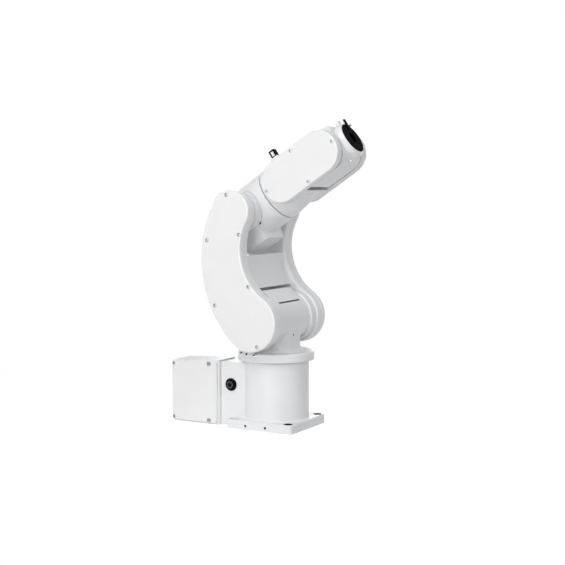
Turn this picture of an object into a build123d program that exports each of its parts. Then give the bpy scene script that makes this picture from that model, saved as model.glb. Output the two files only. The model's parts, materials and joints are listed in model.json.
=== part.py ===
"""Small six-axis industrial robot arm, rebuilt from one photograph.

Frame: origin on the first axis at the underside of the base plate, +X is the
way the arm reaches, +Y is the arm's own left (away from the viewer), +Z is up.
All lengths are in millimetres, all angles in degrees.
"""

from build123d import *
from math import acos, atan2, cos, degrees, hypot, radians, sin
import os

# Fits shared by every joint
pin_clearance = 0.3
face_clearance = 0.5
ring_gap = 1.0
rounding_steps = 3

# Base plate, column and neck
plate_size = 135.0
plate_thickness = 16.5
plate_corner = 8.0
plate_edge = 1.5
foot_pitch = 112.0
foot_hole_radius = 4.5
foot_sink_radius = 8.5
foot_sink_depth = 6.0
side_hole_radius = 2.2
side_hole_depth = 9.0
side_hole_height = 7.2
side_hole_rear_x = -26.0
side_hole_front_x = 15.0
column_radius = 60.0
column_top = 122.0
column_flare = 2.5
neck_half_width = 45.5
neck_top = 118.0

# Cable box behind the column: a tall near half and a lower connector half
box_front_x = -90.3
box_rear_x = -194.0
box_near_y = -57.0
box_split_y = 2.0
box_far_y = 58.0
box_front_top = 120.2
box_rear_top = 115.1
box_front_bottom = 1.0
box_rear_bottom = 1.5
box_round = 5.0
side_cover_thickness = 4.0
side_cover_inset = 1.5
side_cover_front_x = -93.5
side_cover_corner = 7.0
cover_notch_radius = 4.5
cover_notch_drop = 6.5
cover_notch_front_x = -110.5
cover_notch_rear_x = -189.5
box_front_round = 4.0
connector_block_top = 92.0
connector_block_rear_x = -180.0
rear_panel_thickness = 4.0
rear_panel_margin = 6.0
power_socket_width = 34.0
power_socket_height = 26.0
power_socket_depth = 12.0
power_socket_wall = 3.0
socket_recess = 3.0
signal_socket_radius = 9.0
signal_socket_bore = 6.5
signal_socket_depth = 12.0
air_port_radius = 6.0
air_port_bore = 3.0
air_port_depth = 10.0
air_port_spacing = 18.0

# Round control on the neck
button_x = -68.9
button_z = 76.5
bezel_radius = 11.6
bezel_bore = 8.6
bezel_height = 3.0
button_radius = 8.3
button_height = 5.0
button_dome = 2.0

# Turntable, pedestal and shoulder barrel
turntable_seam = 2.0
turntable_radius = 69.5
turntable_thickness = 16.0
turntable_rim_round = 4.0
turntable_spigot_radius = 42.0
turntable_spigot_length = 14.0
pedestal_half_length = 40.0
pedestal_half_width = 38.0
pedestal_corner = 26.0
pedestal_flare = 7.0
shoulder_x = 0.0
shoulder_z = 197.5
barrel_radius = 43.0
shoulder_ring_width = 14.0
shoulder_ring_radius = 47.0
shoulder_pin_radius = 30.0
shoulder_pin_reach = 8.0
lid_rise = 11.0
lid_foot_bearing = 46.4
lid_front_bearing = 88.6
lid_rear_bearing = 115.0
lid_margin = 2.0
slit_margin = 11.0
slit_height = 2.4
slit_depth = 6.0

# Lower arm: a kidney-shaped casting between two thick covers
elbow_x = -40.0
elbow_z = 394.0
low_lobe_radius = 51.5
high_lobe_radius = 37.5
outer_arc_radius = 205.5
inner_arc_radius = 103.0
arm_half_width = 96.0
arm_cover_thickness = 12.0
cheek_thickness = 17.0
cheek_inset = 0.8
cheek_round = 5.0
arm_cover_round = 2.5
shoulder_slot_radius = 59.0
web_recess = 4.5
web_recess_drop = 14.0
web_top = 133.0
elbow_slot_radius = 81.0
web_heel_lift = 6.0
web_heel_rise = 66.0
arm_side_reach = 170.0
arm_screw_inset = 7.5
inner_screw_inset = 5.0
arm_screw_edge = 9.5
arm_pocket_radius = 3.6
arm_pocket_depth = 3.0
high_screw_bearing = 103.6
low_screw_bearing = 290.8
inner_screw_bearings = (166.3, 217.4)
outer_screw_bearings = (170.5, 205.4)

# Elbow housing, built on the forearm's own axis
forearm_tilt = 33.5
collar_radius = 49.5
collar_end = 51.5
collar_edge = 1.0
collar_rear = -48.0
collar_rear_radius = 34.0
collar_rear_taper = -26.0
chin_half_width = 30.0
chin_depth = 62.0
chin_front = 6.0
chin_rear = -45.0
chin_round = 6.0
elbow_drum_radius = 36.5
elbow_ring_radius = 35.0
elbow_ring_width = 6.0
elbow_pin_radius = 26.0
elbow_pin_reach = 8.0
elbow_hole_bearing = -70.0
elbow_hole_side = 40.0
small_hole_radius = 1.8
small_hole_depth = 6.0
pedestal_hole_y = -7.2
pedestal_hole_z = 170.3

# Forearm: a round rear drum that opens into a fork
forearm_seam = 1.5
forearm_length = 186.0
drum_full_length = 14.0
drum_length = 48.0
drum_front_radius = 45.0
drum_cone_length = 11.0
drum_edge = 1.0
fork_radius = 38.0
fork_rear_centre = 96.0
fork_half_width = 58.0
fork_cover_thickness = 7.0
fork_arm_thickness = 11.0
fork_arm_inset = 0.8
fork_cover_round = 2.0
fork_throat_radius = 73.0
fork_screw_inset = 6.0
fork_screw_along = 142.5
fork_pocket_radius = 3.0
fork_pocket_depth = 2.5
forearm_spigot_radius = 30.0
forearm_spigot_length = 12.0
saddle_start = 78.0
saddle_end = 94.0
saddle_half_width = 8.0
saddle_top = 58.5
plug_start = 80.5
plug_end = 91.5
plug_half_width = 5.5
plug_height = 14.5
plug_wall = 2.2
plug_recess = 3.5
plug_insert_gap = 0.6

# Wrist block and tool flange
wrist_side_gap = 5.0
wrist_half_height = 36.0
wrist_rear_reach = 58.0
wrist_front_reach = 33.0
wrist_rear_round = 5.0
wrist_high_round = 7.0
wrist_low_round = 26.0
wrist_hub_radius = 27.0
wrist_pin_radius = 20.0
wrist_pin_reach = 6.0
nose_inset = 2.0
nose_length = 2.0
nose_ring_lip = 1.0
nose_ring_wall = 10.0
nose_ring_length = 6.0
nose_rim_length = 5.0
nose_cone_start = 4.0
nose_rim_wall = 1.5
lug_start = 1.0
lug_end = 7.0
lug_width = 11.0
lug_side = -6.5
lug_foot = 29.0
lug_top = 38.0
flange_rim = 6.0
flange_thickness = 5.5
flange_edge = 0.8
flange_spigot_radius = 15.0
flange_spigot_length = 10.0
flange_bore_radius = 10.0
flange_bore_depth = 5.0
flange_hole_circle = 31.5
flange_hole_radius = 2.1
flange_hole_depth = 5.0
flange_hole_count = 4
flange_hole_turn = 45.0
stop_width = 6.0
stop_foot = 20.0
stop_top = 37.5
stop_length = 2.5
guide_pin_radius = 1.9
guide_pin_length = 5.5
guide_pin_side = 8.5
guide_pin_height = 24.0

# Derived positions
turntable_bottom = column_top + turntable_seam
turntable_top = turntable_bottom + turntable_thickness
cheek_outer = arm_half_width - arm_cover_thickness
cheek_inner = cheek_outer - cheek_thickness
ring_face = cheek_inner - ring_gap
barrel_half_width = ring_face - shoulder_ring_width
lid_half_width = barrel_half_width - lid_margin
slit_half_width = lid_half_width - slit_margin
lid_crest_radius = barrel_radius + lid_rise
lid_flat = barrel_radius * sin(radians(lid_foot_bearing))
lid_foot_x = barrel_radius * cos(radians(lid_foot_bearing))
drum_start = collar_end + forearm_seam
fork_outer = fork_half_width - fork_cover_thickness
fork_inner = fork_outer - fork_arm_thickness
wrist_half_width = fork_inner - wrist_side_gap
wrist_rear = forearm_length - wrist_rear_reach
wrist_front = forearm_length + wrist_front_reach
nose_radius = wrist_half_width - nose_inset
nose_root = wrist_front - wrist_low_round
nose_end = wrist_front + nose_length
nose_ring_radius = nose_radius + nose_ring_lip
nose_ring_bore = nose_ring_radius - nose_ring_wall
nose_ring_end = nose_end + nose_ring_length
flange_radius = nose_ring_radius - flange_rim
flange_start = nose_ring_end + face_clearance
flange_end = flange_start + flange_thickness
nose_rim_end = nose_ring_end + nose_rim_length
nose_rim_bore = flange_radius + face_clearance
arm_reach = (cos(radians(forearm_tilt)), 0, sin(radians(forearm_tilt)))
fore_origin = (elbow_x, 0, elbow_z)

# Side view of the forearm: x runs along it, y across it, normal to the viewer
fore_side = Plane(origin=fore_origin, x_dir=arm_reach, z_dir=(0, -1, 0))
fore_axis = Axis(fore_origin, arm_reach)
fore_across = Axis(fore_origin, (-arm_reach[2], 0, arm_reach[0]))

# Side view of the lower arm: x runs from the shoulder to the elbow, y to the back
arm_length = hypot(elbow_x - shoulder_x, elbow_z - shoulder_z)
arm_rise = ((elbow_x - shoulder_x) / arm_length, 0, (elbow_z - shoulder_z) / arm_length)
arm_side = Plane(origin=(shoulder_x, 0, shoulder_z), x_dir=arm_rise, z_dir=(0, -1, 0))


def fore_section(along):
    """Return the plane square to the forearm at a distance from the elbow axis."""
    origin = (elbow_x + along * arm_reach[0], 0, elbow_z + along * arm_reach[2])
    return Plane(origin=origin, x_dir=(0, 1, 0), z_dir=arm_reach)


def circle_meet(first, first_reach, second, second_reach):
    """Return the point right of the line first-second at both given distances."""
    gap_x = second[0] - first[0]
    gap_z = second[1] - first[1]
    gap = hypot(gap_x, gap_z)
    along = (first_reach**2 - second_reach**2 + gap**2) / (2 * gap)
    aside = (first_reach**2 - along**2) ** 0.5
    x = first[0] + (along * gap_x + aside * gap_z) / gap
    z = first[1] + (along * gap_z - aside * gap_x) / gap
    return (x, z)


def bearing(start, end):
    """Return the direction from one point to another in degrees, 0 to 360."""
    return degrees(atan2(end[1] - start[1], end[0] - start[0])) % 360


low_centre = (shoulder_x, shoulder_z)
high_centre = (elbow_x, elbow_z)
outer_centre = circle_meet(
    low_centre, outer_arc_radius - low_lobe_radius, high_centre, outer_arc_radius - high_lobe_radius
)
inner_centre = circle_meet(
    low_centre, inner_arc_radius + low_lobe_radius, high_centre, inner_arc_radius + high_lobe_radius
)


def polar(centre, reach, turn):
    """Return the point at a distance and bearing from a centre."""
    return (centre[0] + reach * cos(radians(turn)), centre[1] + reach * sin(radians(turn)))


arm_screws = [
    polar(high_centre, high_lobe_radius - arm_screw_inset, high_screw_bearing),
    polar(low_centre, low_lobe_radius - arm_screw_inset, low_screw_bearing),
]
for turn in inner_screw_bearings:
    arm_screws.append(polar(inner_centre, inner_arc_radius + inner_screw_inset, turn))
for turn in outer_screw_bearings:
    arm_screws.append(polar(outer_centre, outer_arc_radius - arm_screw_edge, turn))

fork_screws = [
    (forearm_length + fork_radius - fork_screw_inset, 0),
    (fork_rear_centre - fork_radius + fork_screw_inset, 0),
    (fork_screw_along, fork_radius - fork_screw_inset),
    (fork_screw_along, fork_screw_inset - fork_radius),
]


def sweep_arc(centre, radius, start, end):
    """Draw an arc counter-clockwise between two bearings."""
    CenterArc(centre, radius, start, (end - start) % 360)


def kidney(inset):
    """Draw the lower arm's outline from four tangent arcs, drawn in by inset."""
    low_back = bearing(outer_centre, low_centre)
    high_back = bearing(outer_centre, high_centre)
    low_front = bearing(inner_centre, low_centre)
    high_front = bearing(inner_centre, high_centre)
    sweep_arc(low_centre, low_lobe_radius - inset, low_back, low_front - 180)
    sweep_arc(inner_centre, inner_arc_radius + inset, high_front, low_front)
    sweep_arc(high_centre, high_lobe_radius - inset, high_front - 180, high_back)
    sweep_arc(outer_centre, outer_arc_radius - inset, high_back, low_back)


def obround(inset):
    """Draw the fork's long rounded outline in the forearm's side view."""
    radius = fork_radius - inset
    low = (fork_rear_centre, -radius)
    high = (fork_rear_centre, radius)
    Line(low, (forearm_length, -radius))
    CenterArc((forearm_length, 0), radius, -90, 180)
    Line((forearm_length, radius), high)
    CenterArc((fork_rear_centre, 0), radius, 90, 180)


def round_over(piece, radius, axis, end):
    """Grow a rounded edge on the end face in three tapered steps, light to mesh.

    Args:
        piece: the open part builder that the face belongs to.
        radius: the edge's radius, which is also how far the face is raised.
        axis: the axis along which the faces are sorted.
        end: 0 for the first face along that axis, -1 for the last.
    """
    step = 90 / rounding_steps
    for index in range(rounding_steps):
        start = sin(radians(step * index))
        rise = radius * (sin(radians(step * (index + 1))) - start)
        face = piece.faces().sort_by(axis)[end]
        extrude(face, amount=rise, taper=step * (index + 0.5))


def save(piece, label):
    """Name a finished piece and write its STEP file."""
    piece.part.label = label
    export_step(piece.part, f"parts/{label}.step")


os.makedirs("parts", exist_ok=True)

# Base casting: foot plate, column and neck in one piece
with BuildPart() as base_casting:
    with BuildSketch():
        RectangleRounded(plate_size, plate_size, plate_corner)
    extrude(amount=plate_thickness)
    chamfer(base_casting.faces().sort_by(Axis.Z)[-1].edges(), plate_edge)
    with BuildSketch(Plane.XY.offset(plate_thickness)):
        Circle(column_radius)
    extrude(amount=column_top - plate_thickness)
    with BuildSketch(Plane.XY.offset(plate_thickness)):
        Circle(column_radius + column_flare)
    extrude(amount=column_flare, taper=45)
    with BuildSketch(Plane.XY.offset(box_front_bottom)):
        with Locations((box_front_x / 2, (box_split_y - neck_half_width) / 2)):
            Rectangle(-box_front_x, box_split_y + neck_half_width)
    extrude(amount=neck_top - box_front_bottom)
    with BuildSketch(Plane.XY.offset(box_front_bottom)):
        with Locations((box_front_x / 2, (box_split_y + neck_half_width) / 2)):
            Rectangle(-box_front_x, neck_half_width - box_split_y)
    extrude(amount=connector_block_top - box_front_bottom)
    with BuildSketch(Plane.XY.offset(column_top)):
        Circle(turntable_spigot_radius + pin_clearance)
    extrude(amount=-turntable_spigot_length, mode=Mode.SUBTRACT)
    with Locations(Plane.XY.offset(plate_thickness)):
        with GridLocations(foot_pitch, foot_pitch, 2, 2):
            CounterBoreHole(foot_hole_radius, foot_sink_radius, foot_sink_depth)
    with BuildSketch(Plane.XZ.offset(plate_size / 2)):
        with Locations((side_hole_rear_x, side_hole_height), (side_hole_front_x, side_hole_height)):
            Circle(side_hole_radius)
    extrude(amount=-side_hole_depth, mode=Mode.SUBTRACT)
save(base_casting, "base_casting")

# Tall near half of the cable box, drafted towards the rear
with BuildPart() as cable_box:
    with BuildSketch(Plane.XZ.offset(-box_split_y)) as box_profile:
        with BuildLine():
            Polyline(
                (box_front_x, box_front_bottom),
                (box_front_x, box_front_top),
                (box_rear_x, box_rear_top),
                (box_rear_x, box_rear_bottom),
                close=True,
            )
        make_face()
        fillet(box_profile.vertices().group_by(Axis.X)[0], box_round)
    extrude(amount=box_split_y - box_near_y - side_cover_thickness)
    front_corner = cable_box.edges().filter_by(Axis.Z).group_by(Axis.X)[-1].sort_by(Axis.Y)[0]
    fillet(front_corner, box_front_round)
save(cable_box, "cable_box")


def box_height(x, front_height, rear_height):
    """Return the height at x of one of the box's slanting edges."""
    share = (box_front_x - x) / (box_front_x - box_rear_x)
    return front_height + share * (rear_height - front_height)


# Flat cover on the near side of the cable box, notched for its four screws
with BuildPart() as box_side_cover:
    with BuildSketch(Plane.XZ.offset(-box_near_y - side_cover_thickness)) as cover_profile:
        with BuildLine():
            Polyline(
                (side_cover_front_x, box_front_bottom + side_cover_inset),
                (side_cover_front_x, box_front_top - side_cover_inset),
                (box_rear_x + side_cover_inset, box_rear_top - side_cover_inset),
                (box_rear_x + side_cover_inset, box_rear_bottom + side_cover_inset),
                close=True,
            )
        make_face()
        fillet(cover_profile.vertices(), side_cover_corner)
    extrude(amount=side_cover_thickness)
    chamfer(box_side_cover.faces().sort_by(Axis.Y)[0].edges(), side_cover_inset)
    with BuildSketch(Plane.XZ.offset(-box_near_y)):
        for notch_x in (cover_notch_front_x, cover_notch_rear_x):
            notch_top = box_height(notch_x, box_front_top, box_rear_top) - cover_notch_drop
            notch_bottom = box_height(notch_x, box_front_bottom, box_rear_bottom) + cover_notch_drop
            with Locations((notch_x, notch_top), (notch_x, notch_bottom)):
                Circle(cover_notch_radius)
    extrude(amount=-side_cover_thickness, mode=Mode.SUBTRACT)
save(box_side_cover, "box_side_cover")

# Lower far half that carries the sockets on its rear face
with BuildPart() as connector_block:
    with BuildSketch(Plane.XY.offset(box_front_bottom)):
        with Locations(((box_front_x + connector_block_rear_x) / 2, (box_split_y + box_far_y) / 2)):
            Rectangle(box_front_x - connector_block_rear_x, box_far_y - box_split_y)
    extrude(amount=connector_block_top - box_front_bottom)
    fillet(connector_block.edges().filter_by(Axis.X).sort_by(Axis.Y)[-2:], box_round)
save(connector_block, "connector_block")

panel_width = box_far_y - box_split_y - 2 * rear_panel_margin
panel_height = connector_block_top - box_front_bottom - 2 * rear_panel_margin
panel_y = (box_split_y + box_far_y) / 2
panel_z = (connector_block_top + box_front_bottom) / 2
panel_base = Plane(origin=(connector_block_rear_x, panel_y, panel_z), x_dir=(0, -1, 0), z_dir=(-1, 0, 0))
panel_face = panel_base.offset(rear_panel_thickness)
power_height = panel_height / 4
signal_height = -panel_height / 4
signal_offset = panel_width / 4

# Panel that the sockets are fixed to
with BuildPart() as rear_panel:
    with BuildSketch(panel_base):
        RectangleRounded(panel_width, panel_height, box_round)
    extrude(amount=rear_panel_thickness)
save(rear_panel, "rear_panel")

# Power socket: a rectangular shell with an open mouth
with BuildPart() as power_socket:
    with BuildSketch(panel_face):
        with Locations((0, power_height)):
            RectangleRounded(power_socket_width, power_socket_height, power_socket_wall)
    extrude(amount=power_socket_depth)
    with BuildSketch(panel_face.offset(power_socket_depth)):
        with Locations((0, power_height)):
            Rectangle(
                power_socket_width - 2 * power_socket_wall, power_socket_height - 2 * power_socket_wall
            )
    extrude(amount=-socket_recess, mode=Mode.SUBTRACT)
save(power_socket, "power_socket")

# Signal socket: a round shell with an open mouth
with BuildPart() as signal_socket:
    with BuildSketch(panel_face):
        with Locations((-signal_offset, signal_height)):
            Circle(signal_socket_radius)
    extrude(amount=signal_socket_depth)
    with BuildSketch(panel_face.offset(signal_socket_depth)):
        with Locations((-signal_offset, signal_height)):
            Circle(signal_socket_bore)
    extrude(amount=-socket_recess, mode=Mode.SUBTRACT)
save(signal_socket, "signal_socket")

upper_port_height = signal_height + air_port_spacing / 2
lower_port_height = signal_height - air_port_spacing / 2

# Two air ports beside the signal socket
with BuildPart() as upper_air_port:
    with BuildSketch(panel_face):
        with Locations((signal_offset, upper_port_height)):
            Circle(air_port_radius)
    extrude(amount=air_port_depth)
    with BuildSketch(panel_face.offset(air_port_depth)):
        with Locations((signal_offset, upper_port_height)):
            Circle(air_port_bore)
    extrude(amount=-socket_recess, mode=Mode.SUBTRACT)
save(upper_air_port, "upper_air_port")

with BuildPart() as lower_air_port:
    with BuildSketch(panel_face):
        with Locations((signal_offset, lower_port_height)):
            Circle(air_port_radius)
    extrude(amount=air_port_depth)
    with BuildSketch(panel_face.offset(air_port_depth)):
        with Locations((signal_offset, lower_port_height)):
            Circle(air_port_bore)
    extrude(amount=-socket_recess, mode=Mode.SUBTRACT)
save(lower_air_port, "lower_air_port")

# Round control on the neck: a bezel with a domed cap in it
with BuildPart() as button_bezel:
    with BuildSketch(Plane.XZ.offset(neck_half_width)):
        with Locations((button_x, button_z)):
            Circle(bezel_radius)
            Circle(bezel_bore, mode=Mode.SUBTRACT)
    extrude(amount=bezel_height)
    chamfer(button_bezel.faces().sort_by(Axis.Y)[0].outer_wire().edges(), plate_edge)
save(button_bezel, "button_bezel")

with BuildPart() as button_cap:
    with BuildSketch(Plane.XZ.offset(neck_half_width)):
        with Locations((button_x, button_z)):
            Circle(button_radius)
    extrude(amount=button_height)
    chamfer(button_cap.faces().sort_by(Axis.Y)[0].edges(), button_dome)
save(button_cap, "button_cap")

# Turntable: flange, pedestal and shoulder barrel in one casting
with BuildPart() as turntable_casting:
    with BuildSketch(Plane.XY.offset(turntable_bottom)):
        Circle(turntable_radius)
    extrude(amount=turntable_thickness - turntable_rim_round)
    round_over(turntable_casting, turntable_rim_round, Axis.Z, -1)
    with BuildSketch(Plane.XY.offset(turntable_top)):
        RectangleRounded(2 * pedestal_half_length, 2 * pedestal_half_width, pedestal_corner)
    extrude(amount=shoulder_z - turntable_top)
    foot = turntable_casting.edges().filter_by_position(Axis.Z, turntable_top, turntable_top)
    chamfer(foot.filter_by(lambda edge: edge.length < 2 * pedestal_half_width), pedestal_flare)
    with BuildSketch(Plane.XZ):
        with Locations(low_centre):
            Circle(barrel_radius)
    extrude(amount=barrel_half_width, both=True)
    with BuildSketch(Plane.XY.offset(shoulder_z + lid_flat)):
        Rectangle(2 * barrel_radius, 2 * lid_half_width)
    extrude(amount=barrel_radius, mode=Mode.SUBTRACT)
    for side in (1, -1):
        with BuildSketch(Plane.XZ.offset(side * barrel_half_width)):
            with Locations(low_centre):
                Circle(shoulder_ring_radius)
        extrude(amount=side * (ring_face - barrel_half_width))
        with BuildSketch(Plane.XZ.offset(side * ring_face)):
            with Locations(low_centre):
                Circle(shoulder_pin_radius)
        extrude(amount=side * (ring_gap + shoulder_pin_reach))
    with BuildSketch(Plane.XY.offset(turntable_bottom)):
        Circle(turntable_spigot_radius)
    extrude(amount=-(turntable_seam + turntable_spigot_length - pin_clearance))
    with BuildSketch(Plane.YZ.offset(pedestal_half_length)):
        with Locations((pedestal_hole_y, pedestal_hole_z)):
            Circle(small_hole_radius)
    extrude(amount=-small_hole_depth, mode=Mode.SUBTRACT)
save(turntable_casting, "turntable_casting")

crest_front = polar(low_centre, lid_crest_radius, lid_front_bearing)
crest_rear = polar(low_centre, lid_crest_radius, lid_rear_bearing)

# Ridged lid on the flat of the barrel, with a slit along its front and rear foot
with BuildPart() as shoulder_lid:
    with BuildSketch(Plane.XZ):
        with BuildLine():
            sweep_arc(low_centre, lid_crest_radius, lid_front_bearing, lid_rear_bearing)
            Polyline(
                crest_rear,
                (shoulder_x - lid_foot_x, shoulder_z + lid_flat),
                (shoulder_x + lid_foot_x, shoulder_z + lid_flat),
                crest_front,
            )
        make_face()
    extrude(amount=lid_half_width - pin_clearance, both=True)
    with BuildSketch(Plane.XY.offset(shoulder_z + lid_flat)):
        Rectangle(2 * barrel_radius, 2 * slit_half_width)
        Rectangle(2 * (lid_foot_x - slit_depth), 2 * slit_half_width, mode=Mode.SUBTRACT)
    extrude(amount=slit_height, mode=Mode.SUBTRACT)
save(shoulder_lid, "shoulder_lid")

web_half_width = cheek_inner + cheek_round

# Web of the lower arm, cut free of the shoulder, the elbow and the folded forearm
with BuildPart() as arm_web:
    with BuildSketch(Plane.XZ):
        with BuildLine():
            kidney(cheek_inset)
        make_face()
    extrude(amount=web_half_width, both=True)
    with BuildSketch(Plane.XZ):
        with Locations(low_centre):
            Circle(shoulder_slot_radius)
        with Locations(high_centre):
            Circle(elbow_slot_radius)
        with Locations((inner_centre[0], inner_centre[1] - web_recess_drop)):
            Circle(inner_arc_radius + web_recess)
    extrude(amount=web_half_width, both=True, mode=Mode.SUBTRACT)
    with BuildSketch(arm_side):
        with BuildLine():
            Polyline(
                (web_top, -arm_side_reach),
                (web_top, arm_side_reach),
                (web_top + arm_side_reach, arm_side_reach),
                (web_top + arm_side_reach, -arm_side_reach),
                close=True,
            )
        make_face()
        with BuildLine():
            Polyline(
                (web_heel_lift, 0),
                (web_heel_lift + web_heel_rise, arm_side_reach),
                (-arm_side_reach, arm_side_reach),
                (-arm_side_reach, 0),
                close=True,
            )
        make_face()
    extrude(amount=web_half_width, both=True, mode=Mode.SUBTRACT)

# Two cheeks, rounded along their inner edges
with BuildPart() as near_cheek:
    with BuildSketch(Plane.XZ.offset(cheek_outer)):
        with BuildLine():
            kidney(cheek_inset)
        make_face()
    extrude(amount=cheek_round - cheek_thickness)
    round_over(near_cheek, cheek_round, Axis.Y, -1)

with BuildPart() as far_cheek:
    with BuildSketch(Plane.XZ.offset(-cheek_outer)):
        with BuildLine():
            kidney(cheek_inset)
        make_face()
    extrude(amount=cheek_thickness - cheek_round)
    round_over(far_cheek, cheek_round, Axis.Y, 0)

# Lower arm casting: web and cheeks in one, with pockets for the joint pins
with BuildPart() as lower_arm_casting:
    add(arm_web.part)
    add(near_cheek.part)
    add(far_cheek.part)
    for side in (1, -1):
        with BuildSketch(Plane.XZ.offset(side * cheek_inner)):
            with Locations(low_centre):
                Circle(shoulder_pin_radius + pin_clearance)
        extrude(amount=side * (shoulder_pin_reach + pin_clearance), mode=Mode.SUBTRACT)
        with BuildSketch(Plane.XZ.offset(side * cheek_inner)):
            with Locations(high_centre):
                Circle(elbow_pin_radius + pin_clearance)
        extrude(amount=side * (elbow_pin_reach + pin_clearance), mode=Mode.SUBTRACT)
save(lower_arm_casting, "lower_arm_casting")

# Thick covers over both cheeks
with BuildPart() as near_arm_cover:
    with BuildSketch(Plane.XZ.offset(cheek_outer)):
        with BuildLine():
            kidney(0)
        make_face()
    extrude(amount=arm_half_width - cheek_outer - arm_cover_round)
    round_over(near_arm_cover, arm_cover_round, Axis.Y, 0)
    with BuildSketch(Plane.XZ.offset(arm_half_width)):
        with Locations(*arm_screws):
            Circle(arm_pocket_radius)
    extrude(amount=-arm_pocket_depth, mode=Mode.SUBTRACT)
save(near_arm_cover, "near_arm_cover")

with BuildPart() as far_arm_cover:
    with BuildSketch(Plane.XZ.offset(-cheek_outer)):
        with BuildLine():
            kidney(0)
        make_face()
    extrude(amount=cheek_outer - arm_half_width + arm_cover_round)
    round_over(far_arm_cover, arm_cover_round, Axis.Y, -1)
    with BuildSketch(Plane.XZ.offset(-arm_half_width)):
        with Locations(*arm_screws):
            Circle(arm_pocket_radius)
    extrude(amount=arm_pocket_depth, mode=Mode.SUBTRACT)
save(far_arm_cover, "far_arm_cover")

# Point where a side of the chin, drawn up from its corner, touches the collar
chin_reach = hypot(chin_half_width, chin_depth)
chin_turn = degrees(acos(collar_radius / chin_reach)) - degrees(atan2(chin_depth, chin_half_width))
chin_side = polar((0, 0), collar_radius, chin_turn)

# Elbow housing: round collar, flat-bottomed chin and a drum on the elbow axis
with BuildPart() as elbow_housing:
    with BuildSketch(fore_side):
        with BuildLine():
            Polyline(
                (collar_rear, 0),
                (collar_rear, collar_rear_radius),
                (collar_rear_taper, collar_radius),
                (collar_end - collar_edge, collar_radius),
                (collar_end, collar_radius - collar_edge),
                (collar_end, 0),
                close=True,
            )
        make_face()
    revolve(axis=fore_axis)
    with BuildSketch(fore_section(chin_rear)):
        with BuildLine():
            Polyline(
                (-chin_side[0], chin_side[1]),
                (-chin_half_width, -chin_depth),
                (chin_half_width, -chin_depth),
                chin_side,
                close=True,
            )
        make_face()
    extrude(amount=chin_front - chin_rear)
    chin_floor = elbow_housing.faces().sort_by(fore_across)[0].edges().filter_by(Axis.Y)
    fillet(chin_floor.sort_by(fore_axis)[0], chin_round)
    with BuildSketch(fore_side):
        Circle(elbow_drum_radius)
    extrude(amount=ring_face - elbow_ring_width, both=True)
    with BuildSketch(fore_side):
        Circle(elbow_ring_radius)
    extrude(amount=ring_face, both=True)
    with BuildSketch(fore_side):
        Circle(elbow_pin_radius)
    extrude(amount=cheek_inner + elbow_pin_reach, both=True)
    with BuildSketch(fore_section(collar_end)):
        Circle(forearm_spigot_radius + pin_clearance)
    extrude(amount=-forearm_spigot_length, mode=Mode.SUBTRACT)
    hole_foot = polar((0, 0), elbow_drum_radius, elbow_hole_bearing)
    for side in (1, -1):
        foot = fore_side.offset(side * elbow_hole_side).from_local_coords(Vector(*hole_foot, 0))
        out = foot - fore_side.offset(side * elbow_hole_side).origin
        with BuildSketch(Plane(origin=foot, x_dir=(0, 1, 0), z_dir=out)):
            Circle(small_hole_radius)
        extrude(amount=-small_hole_depth, mode=Mode.SUBTRACT)
save(elbow_housing, "elbow_housing")

# Forearm casting: rear drum, spigot for the roll axis and a two-armed fork
with BuildPart() as forearm_casting:
    with BuildSketch(fore_side):
        with BuildLine():
            Polyline(
                (drum_start, 0),
                (drum_start, collar_radius - drum_edge),
                (drum_start + drum_edge, collar_radius),
                (drum_start + drum_full_length, collar_radius),
                (drum_start + drum_length, drum_front_radius),
                (drum_start + drum_length + drum_cone_length, fork_radius),
                (drum_start + drum_length + drum_cone_length, 0),
                close=True,
            )
        make_face()
    revolve(axis=fore_axis)
    with BuildSketch(fore_side):
        with BuildLine():
            obround(fork_arm_inset)
        make_face()
    extrude(amount=fork_outer, both=True)
    with BuildSketch(fore_side):
        with Locations((forearm_length, 0)):
            Circle(fork_throat_radius)
    extrude(amount=fork_inner, both=True, mode=Mode.SUBTRACT)
    for side in (1, -1):
        with BuildSketch(fore_side.offset(side * fork_inner)):
            with Locations((forearm_length, 0)):
                Circle(wrist_pin_radius + pin_clearance)
        extrude(amount=side * (wrist_pin_reach + pin_clearance), mode=Mode.SUBTRACT)
    with BuildSketch(fore_side):
        with BuildLine():
            Polyline(
                (saddle_start, 0),
                (saddle_end, 0),
                (saddle_end, saddle_top),
                (saddle_start, saddle_top),
                close=True,
            )
        make_face()
    extrude(amount=saddle_half_width, both=True)
    with BuildSketch(fore_section(drum_start)):
        Circle(forearm_spigot_radius)
    extrude(amount=-(forearm_seam + forearm_spigot_length - pin_clearance))
save(forearm_casting, "forearm_casting")

# Covers over both fork arms
with BuildPart() as near_forearm_cover:
    with BuildSketch(fore_side.offset(fork_outer)):
        with BuildLine():
            obround(0)
        make_face()
    extrude(amount=fork_half_width - fork_outer - fork_cover_round)
    round_over(near_forearm_cover, fork_cover_round, Axis.Y, 0)
    with BuildSketch(fore_side.offset(fork_half_width)):
        with Locations(*fork_screws):
            Circle(fork_pocket_radius)
    extrude(amount=-fork_pocket_depth, mode=Mode.SUBTRACT)
save(near_forearm_cover, "near_forearm_cover")

with BuildPart() as far_forearm_cover:
    with BuildSketch(fore_side.offset(-fork_outer)):
        with BuildLine():
            obround(0)
        make_face()
    extrude(amount=fork_outer - fork_half_width + fork_cover_round)
    round_over(far_forearm_cover, fork_cover_round, Axis.Y, -1)
    with BuildSketch(fore_side.offset(-fork_half_width)):
        with Locations(*fork_screws):
            Circle(fork_pocket_radius)
    extrude(amount=fork_pocket_depth, mode=Mode.SUBTRACT)
save(far_forearm_cover, "far_forearm_cover")

plug_middle = (plug_start + plug_end) / 2
plug_length = plug_end - plug_start
plug_centre = (plug_middle, saddle_top + plug_height / 2)

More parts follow.
